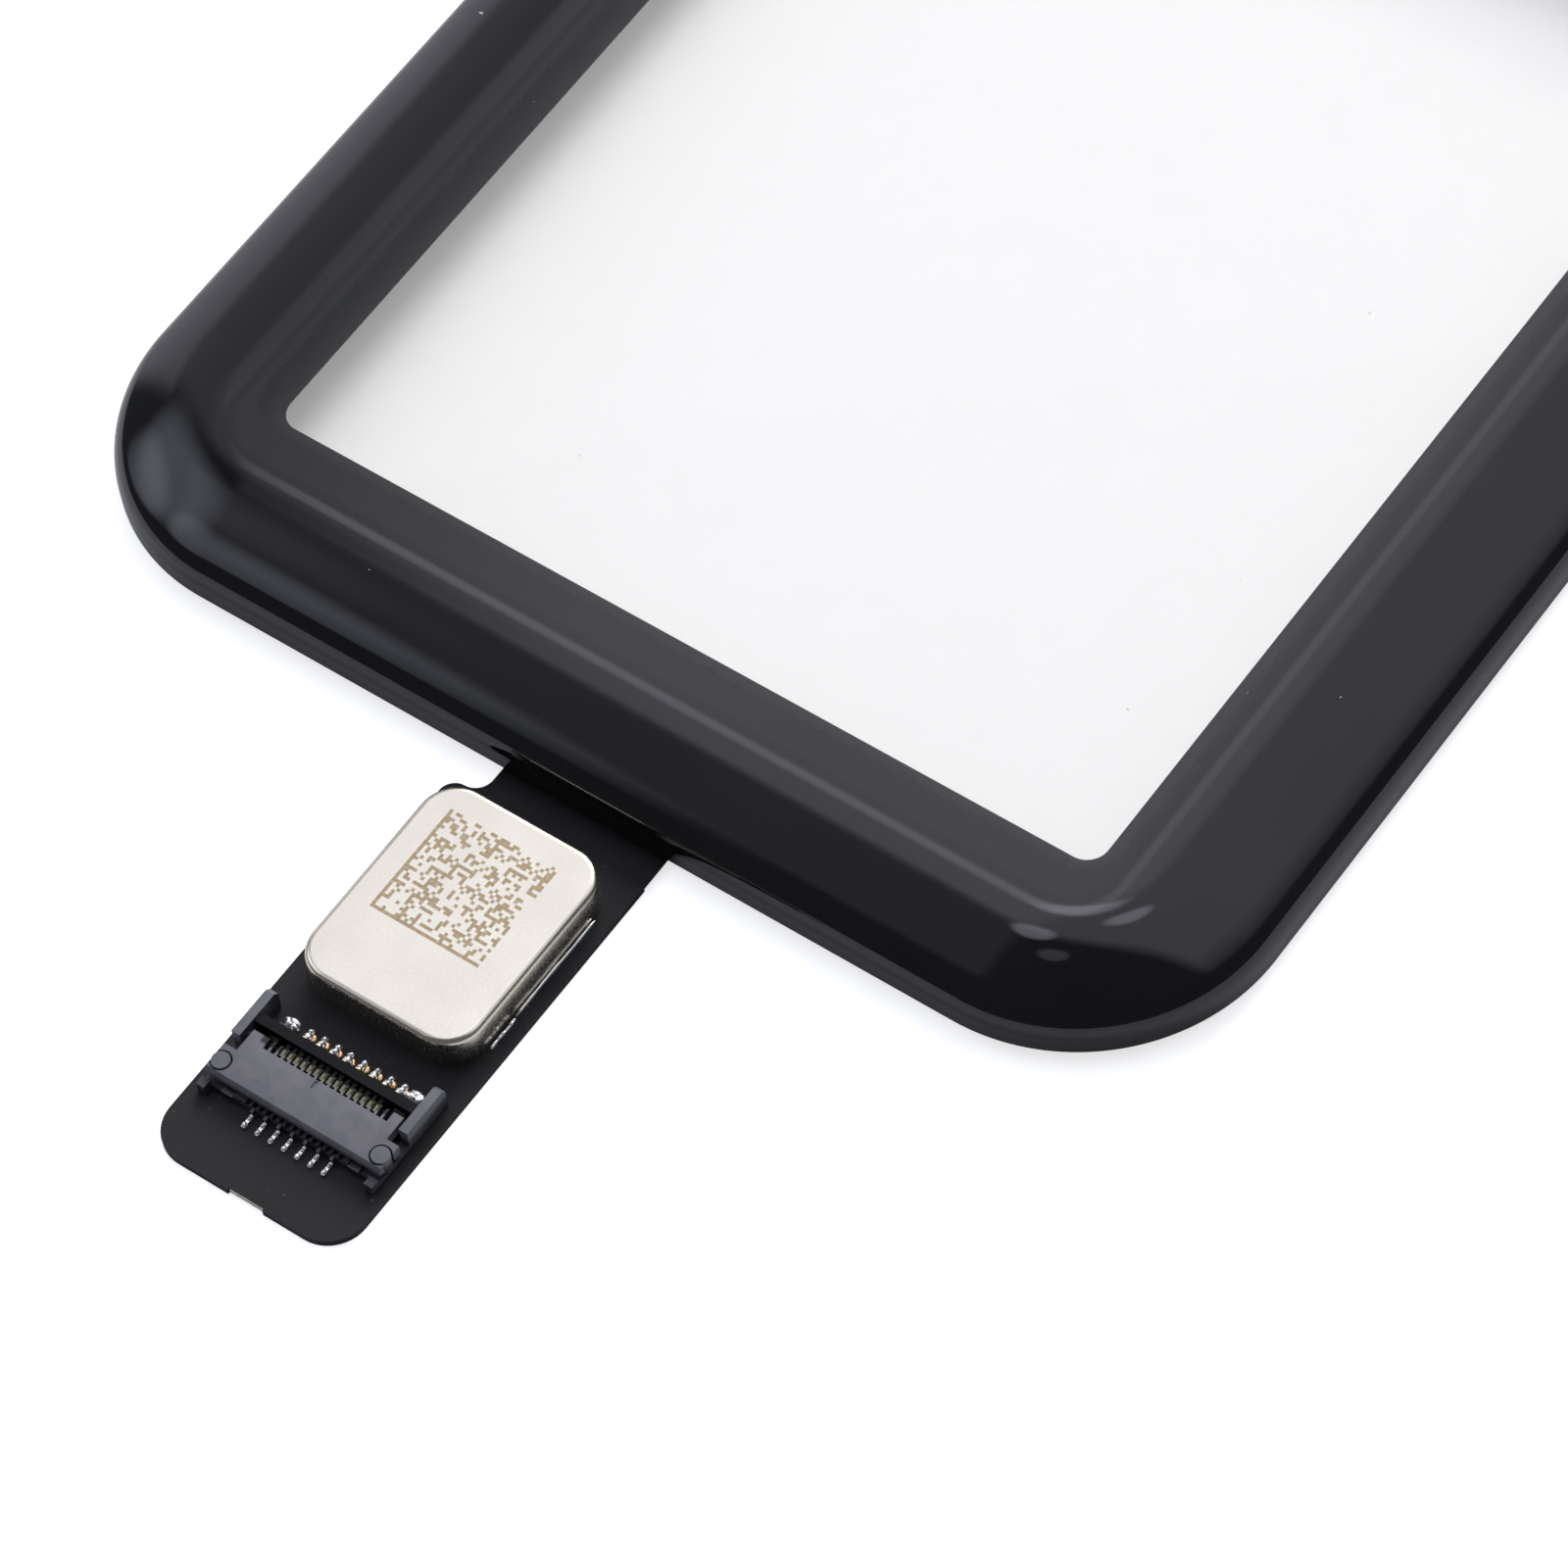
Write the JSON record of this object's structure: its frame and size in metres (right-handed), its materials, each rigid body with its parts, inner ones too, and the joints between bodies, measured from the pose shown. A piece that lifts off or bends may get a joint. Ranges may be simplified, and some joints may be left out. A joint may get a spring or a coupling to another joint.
{
  "type": "smartwatch touch screen",
  "caption": "Curved cover glass with a touch sensor film and a flex tail that carries a shielded controller and a flip-lock connector.",
  "frame": {"origin": "centre of the rear face of the sensor film, where the display panel is bonded", "axes": "+Z out of the front of the glass, +Y to the top of the screen, +X to the right; the flex tail leaves towards -Y"},
  "size_m": [0.034, 0.0532, 0.0023],
  "materials": {
    "glass": "polished",
    "black_ink": "printed gloss",
    "adhesive": "clear",
    "sensor_film": "clear film",
    "bond_resin": "cured",
    "flex_black": "matt coverlay",
    "stiffener": "matt",
    "can_steel": "satin plated",
    "solder": "bright",
    "chip_body": "moulded",
    "ceramic": "fired",
    "housing_plastic": "moulded",
    "flap_plastic": "moulded",
    "contact_gold": "plated"
  },
  "bodies": {
    "panel": {"cover_glass": "glass", "ink_border": "black_ink", "optical_adhesive": "adhesive", "touch_sensor_film": "sensor_film", "bond_strip": "bond_resin", "flex_circuit": "flex_black", "flex_stiffener": "stiffener", "shield_can": "can_steel", "shield_frame": "can_steel", "shield_solder": "solder", "controller_chip": "chip_body", "capacitors": "ceramic", "connector_housing": "housing_plastic", "hold_down_left": "solder", "hold_down_right": "solder", "contact_front_1": "contact_gold", "contact_front_2": "contact_gold", "contact_front_3": "contact_gold", "contact_front_4": "contact_gold", "contact_front_5": "contact_gold", "contact_front_6": "contact_gold", "contact_front_7": "contact_gold", "contact_rear_1": "contact_gold", "contact_rear_2": "contact_gold", "contact_rear_3": "contact_gold", "contact_rear_4": "contact_gold", "contact_rear_5": "contact_gold", "contact_rear_6": "contact_gold", "contact_rear_7": "contact_gold", "contact_rear_8": "contact_gold", "front_solder": "solder", "rear_solder": "solder"},
    "flap": {"connector_actuator": "flap_plastic"}
  },
  "joints": [
    {"name": "flap_lock", "type": "hinge", "parent": "panel", "child": "flap", "pos_m": [0, -0.0296, -0.00048], "axis": [-1, 0, 0], "range_deg": [0, 90]}
  ]
}
